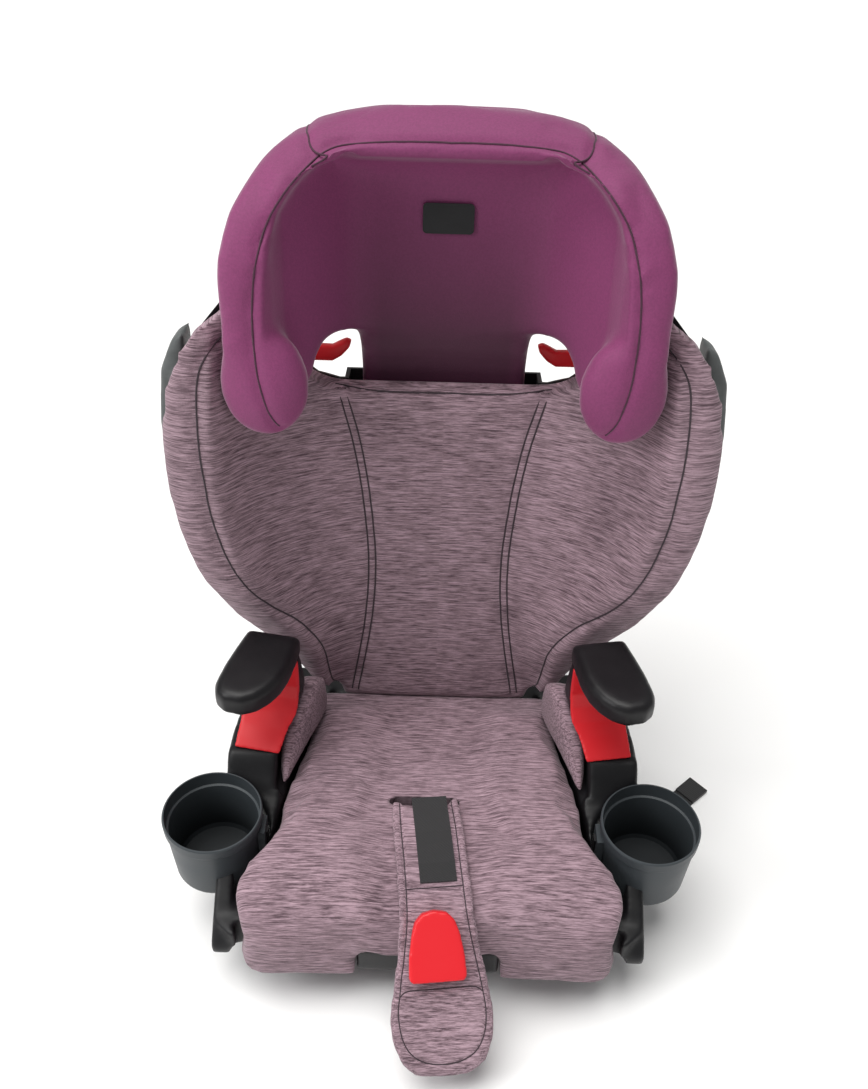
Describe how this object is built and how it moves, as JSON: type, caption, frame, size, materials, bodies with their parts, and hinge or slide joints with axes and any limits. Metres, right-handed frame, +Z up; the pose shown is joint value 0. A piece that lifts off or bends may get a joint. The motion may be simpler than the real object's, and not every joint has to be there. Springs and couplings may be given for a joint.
{
  "type": "child booster seat",
  "caption": "High-back child booster seat with padded winged back, height-adjustable hooded headrest, armrests, side cup holders and a padded crotch flap with belt clip.",
  "frame": {"origin": "middle of the base at floor level", "axes": "+Z up, -Y the way the child faces, +X to the right seen from the front"},
  "size_m": [0.5785, 0.5521, 0.7287],
  "materials": {
    "base_black": "satin",
    "arm_black": "satin",
    "shell_black": "satin",
    "red_plastic": "satin",
    "cup_grey": "satin",
    "guard_grey": "satin",
    "melange_knit": "matte",
    "purple_knit": "matte",
    "dark_binding": "matte",
    "foam": "matte",
    "black_webbing": "matte",
    "steel": "satin",
    "badge_grey": "satin"
  },
  "bodies": {
    "base": {"base_shell": "base_black", "base_tray": "base_black", "base_screws": "steel", "seat_foam": "foam", "seat_cover": "melange_knit", "anchor_bar": "steel", "crotch_strap": "black_webbing", "pivot_rod": "steel", "rod_caps": "shell_black", "pull_strap": "black_webbing", "hip_bolster_left": "melange_knit", "hip_bolster_right": "melange_knit", "armrest_pad_left": "arm_black", "armrest_pad_right": "arm_black", "armrest_pillar_left": "arm_black", "armrest_pillar_right": "arm_black", "lap_belt_guide_left": "red_plastic", "lap_belt_guide_right": "red_plastic", "cup_bracket_left": "shell_black", "cup_bracket_right": "shell_black"},
    "crotch_flap": {"flap_pad": "melange_knit", "flap_binding": "dark_binding", "flap_webbing": "black_webbing", "belt_clip": "red_plastic", "clip_plate": "shell_black", "clip_rivets": "steel"},
    "backrest": {"back_shell": "shell_black", "back_foam": "foam", "back_cover": "melange_knit", "height_rail": "shell_black", "rear_cover": "shell_black", "back_screws": "steel", "pivot_hooks": "shell_black", "side_guard_left": "guard_grey", "side_guard_right": "guard_grey"},
    "headrest": {"headrest_shell": "shell_black", "headrest_foam": "purple_knit", "headrest_cover": "purple_knit", "neck_sleeve": "purple_knit", "headrest_stem": "shell_black", "badge": "badge_grey", "guide_screws": "steel", "adjuster_spring": "steel", "shoulder_belt_guide_left": "red_plastic", "shoulder_belt_guide_right": "red_plastic"},
    "adjuster": {"adjuster_handle": "red_plastic", "pull_rod": "steel"},
    "lock": {"lock_bolt": "steel"},
    "cup_left": {"cup_holder_left": "cup_grey"},
    "latch_left": {"latch_housing_left": "shell_black", "latch_pin_left": "steel", "latch_webbing_left": "black_webbing"},
    "latch_button_left": {"latch_button_left": "red_plastic"},
    "latch_jaw_left": {"latch_jaw_left": "steel"},
    "cup_right": {"cup_holder_right": "cup_grey"},
    "latch_right": {"latch_housing_right": "shell_black", "latch_pin_right": "steel", "latch_webbing_right": "black_webbing"},
    "latch_button_right": {"latch_button_right": "red_plastic"},
    "latch_jaw_right": {"latch_jaw_right": "steel"}
  },
  "joints": [
    {"name": "backrest_recline", "type": "hinge", "parent": "base", "child": "backrest", "pos_m": [0, 0.15, 0.1], "axis": [-1, 0, 0], "range_deg": [0, 14]},
    {"name": "headrest_height", "type": "slide", "parent": "backrest", "child": "headrest", "axis": [0, 0.1736, 0.9848], "range_m": [0, 0.12]},
    {"name": "adjuster_lift", "type": "slide", "parent": "headrest", "child": "adjuster", "axis": [0, 0.1736, 0.9848], "range_m": [0, 0.008], "stiffness_N_per_m": 900, "deforming": ["adjuster_spring"]},
    {"name": "bolt_retract", "type": "slide", "parent": "headrest", "child": "lock", "axis": [0, -0.9848, 0.1736], "range_m": [0, 0.0032]},
    {"name": "crotch_flap_lift", "type": "hinge", "parent": "base", "child": "crotch_flap", "pos_m": [-0.007, -0.066, 0.138], "axis": [-0.9936, -0.1132, 0], "range_deg": [0, 80]},
    {"name": "cup_lift_left", "type": "slide", "parent": "base", "child": "cup_left", "axis": [0, 0, 1], "range_m": [0, 0.06]},
    {"name": "latch_extend_left", "type": "slide", "parent": "base", "child": "latch_left", "axis": [0, 1, 0], "range_m": [0, 0.05]},
    {"name": "latch_press_left", "type": "slide", "parent": "latch_left", "child": "latch_button_left", "axis": [0, 0, -1], "range_m": [0, 0.004], "stiffness_N_per_m": 700},
    {"name": "latch_jaw_open_left", "type": "hinge", "parent": "latch_left", "child": "latch_jaw_left", "pos_m": [-0.128, 0.214, 0.0483], "axis": [1, 0, 0], "range_deg": [0, 38]},
    {"name": "cup_lift_right", "type": "slide", "parent": "base", "child": "cup_right", "axis": [0, 0, 1], "range_m": [0, 0.06]},
    {"name": "latch_extend_right", "type": "slide", "parent": "base", "child": "latch_right", "axis": [0, 1, 0], "range_m": [0, 0.05]},
    {"name": "latch_press_right", "type": "slide", "parent": "latch_right", "child": "latch_button_right", "axis": [0, 0, -1], "range_m": [0, 0.004], "stiffness_N_per_m": 700},
    {"name": "latch_jaw_open_right", "type": "hinge", "parent": "latch_right", "child": "latch_jaw_right", "pos_m": [0.128, 0.214, 0.0483], "axis": [1, 0, 0], "range_deg": [0, 38]}
  ],
  "couplings": [
    {"joint": "bolt_retract", "follows": "adjuster_lift", "ratio": 0.4},
    {"joint": "latch_jaw_open_left", "follows": "latch_press_left", "rad_per_m": 165},
    {"joint": "latch_jaw_open_right", "follows": "latch_press_right", "rad_per_m": 165}
  ]
}
